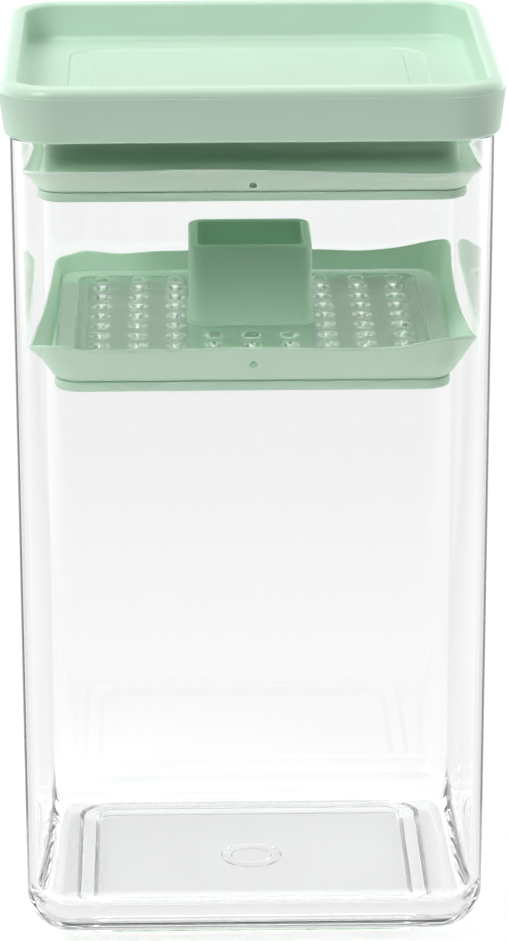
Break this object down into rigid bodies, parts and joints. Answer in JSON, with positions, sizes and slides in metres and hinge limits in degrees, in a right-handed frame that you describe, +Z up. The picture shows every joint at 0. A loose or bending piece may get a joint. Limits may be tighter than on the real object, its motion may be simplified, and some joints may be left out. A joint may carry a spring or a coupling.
{
  "type": "pickle press",
  "caption": "Clear rectangular storage jar with a green tray lid on a flexible seal, and a perforated press plate with a square grip that slides down to hold pickles under brine.",
  "frame": {"origin": "on the table, under the middle of the jar's foot", "axes": "+X to the right along the wide front, +Y to the back, +Z up"},
  "size_m": [0.108, 0.098, 0.197],
  "materials": {
    "clear_jar": "clear polished plastic",
    "green_plastic": "satin moulded plastic",
    "green_silicone": "soft matt silicone",
    "clear_plate": "clear polished plastic"
  },
  "bodies": {
    "jar": {"container": "clear_jar"},
    "lid": {"lid_shell": "green_plastic", "lid_seal": "green_silicone", "lid_base": "green_plastic"},
    "press": {"press_base": "green_plastic", "press_seal": "green_silicone", "press_plate": "clear_plate", "press_grip": "green_plastic"}
  },
  "joints": [
    {"name": "lid_lift", "type": "slide", "parent": "jar", "child": "lid", "axis": [0, 0, 1], "range_m": [0, 0.06]},
    {"name": "press_slide", "type": "slide", "parent": "jar", "child": "press", "axis": [0, 0, 1], "range_m": [-0.12, 0.016]}
  ]
}
